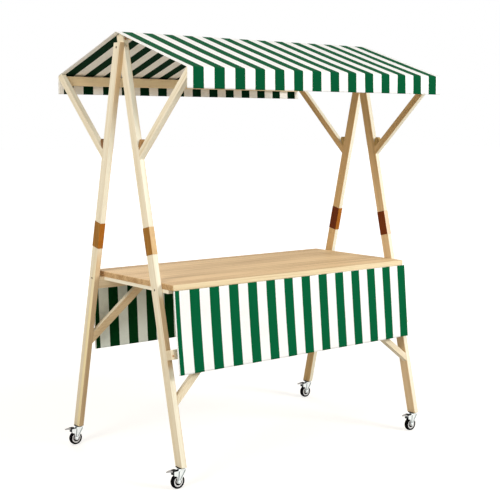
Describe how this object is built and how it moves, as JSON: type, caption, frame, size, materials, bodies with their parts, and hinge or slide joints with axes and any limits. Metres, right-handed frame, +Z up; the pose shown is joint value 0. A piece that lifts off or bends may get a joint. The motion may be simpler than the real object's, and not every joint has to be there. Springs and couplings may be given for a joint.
{
  "type": "market stall",
  "caption": "Wooden market stall on swivel castors with a counter, a striped cloth canopy and striped cloths hanging below the counter.",
  "frame": {"origin": "on the floor, midway between the two A-frames and midway between the front and rear feet", "axes": "+X along the counter to the customer's right, -Y toward the customer, +Z up"},
  "size_m": [1.677, 1.128, 2.072],
  "materials": {
    "pine": "clear matt pine",
    "counter_board": "clear satin pine board",
    "band": "brown stained",
    "cloth": "plain weave with wide green and white stripes",
    "dark_steel": "black",
    "zinc_steel": "bright zinc",
    "tyre": "matt rubber",
    "hub": "light grey",
    "pedal": "grey"
  },
  "bodies": {
    "stall": {"counter_top": "counter_board", "rear_apron": "pine", "front_rail": "pine", "ridge_pole": "pine", "eave_rail_front": "pine", "eave_rail_rear": "pine", "end_ledger_left": "pine", "end_ledger_right": "pine", "arm_pegs": "pine", "leg_front_left": "pine", "knee_brace_front_left": "pine", "canopy_arm_front_left": "pine", "leg_rear_left": "pine", "knee_brace_rear_left": "pine", "canopy_arm_rear_left": "pine", "leg_front_right": "pine", "knee_brace_front_right": "pine", "canopy_arm_front_right": "pine", "leg_rear_right": "pine", "knee_brace_rear_right": "pine", "canopy_arm_rear_right": "pine", "leg_bands": "band", "castor_plates": "dark_steel", "canopy": "cloth", "front_cloth": "cloth", "rear_cloth": "cloth"},
    "castor_front_left": {"castor_fork_front_left": "zinc_steel"},
    "wheel_front_left": {"wheel_hub_front_left": "hub", "tyre_front_left": "tyre"},
    "pedal_front_left": {"brake_pedal_front_left": "pedal"},
    "castor_rear_left": {"castor_fork_rear_left": "zinc_steel"},
    "wheel_rear_left": {"wheel_hub_rear_left": "hub", "tyre_rear_left": "tyre"},
    "pedal_rear_left": {"brake_pedal_rear_left": "pedal"},
    "castor_front_right": {"castor_fork_front_right": "zinc_steel"},
    "wheel_front_right": {"wheel_hub_front_right": "hub", "tyre_front_right": "tyre"},
    "pedal_front_right": {"brake_pedal_front_right": "pedal"},
    "castor_rear_right": {"castor_fork_rear_right": "zinc_steel"},
    "wheel_rear_right": {"wheel_hub_rear_right": "hub", "tyre_rear_right": "tyre"},
    "pedal_rear_right": {"brake_pedal_rear_right": "pedal"}
  },
  "joints": [
    {"name": "swivel_front_left", "type": "hinge", "parent": "stall", "child": "castor_front_left", "pos_m": [-0.7615, -0.446, 0.095], "axis": [0, 0, 1], "continuous": true},
    {"name": "roll_front_left", "type": "hinge", "parent": "castor_front_left", "child": "wheel_front_left", "pos_m": [-0.7815, -0.446, 0.034], "axis": [0, 1, 0], "continuous": true},
    {"name": "brake_front_left", "type": "hinge", "parent": "castor_front_left", "child": "pedal_front_left", "pos_m": [-0.7905, -0.446, 0.0802], "axis": [0, -1, 0], "range_deg": [0, 10]},
    {"name": "swivel_rear_left", "type": "hinge", "parent": "stall", "child": "castor_rear_left", "pos_m": [-0.7885, 0.446, 0.095], "axis": [0, 0, 1], "continuous": true},
    {"name": "roll_rear_left", "type": "hinge", "parent": "castor_rear_left", "child": "wheel_rear_left", "pos_m": [-0.8085, 0.446, 0.034], "axis": [0, 1, 0], "continuous": true},
    {"name": "brake_rear_left", "type": "hinge", "parent": "castor_rear_left", "child": "pedal_rear_left", "pos_m": [-0.8175, 0.446, 0.0802], "axis": [0, -1, 0], "range_deg": [0, 10]},
    {"name": "swivel_front_right", "type": "hinge", "parent": "stall", "child": "castor_front_right", "pos_m": [0.7615, -0.446, 0.095], "axis": [0, 0, 1], "continuous": true},
    {"name": "roll_front_right", "type": "hinge", "parent": "castor_front_right", "child": "wheel_front_right", "pos_m": [0.7415, -0.446, 0.034], "axis": [0, 1, 0], "continuous": true},
    {"name": "brake_front_right", "type": "hinge", "parent": "castor_front_right", "child": "pedal_front_right", "pos_m": [0.7325, -0.446, 0.0802], "axis": [0, -1, 0], "range_deg": [0, 10]},
    {"name": "swivel_rear_right", "type": "hinge", "parent": "stall", "child": "castor_rear_right", "pos_m": [0.7885, 0.446, 0.095], "axis": [0, 0, 1], "continuous": true},
    {"name": "roll_rear_right", "type": "hinge", "parent": "castor_rear_right", "child": "wheel_rear_right", "pos_m": [0.7685, 0.446, 0.034], "axis": [0, 1, 0], "continuous": true},
    {"name": "brake_rear_right", "type": "hinge", "parent": "castor_rear_right", "child": "pedal_rear_right", "pos_m": [0.7595, 0.446, 0.0802], "axis": [0, -1, 0], "range_deg": [0, 10]}
  ]
}
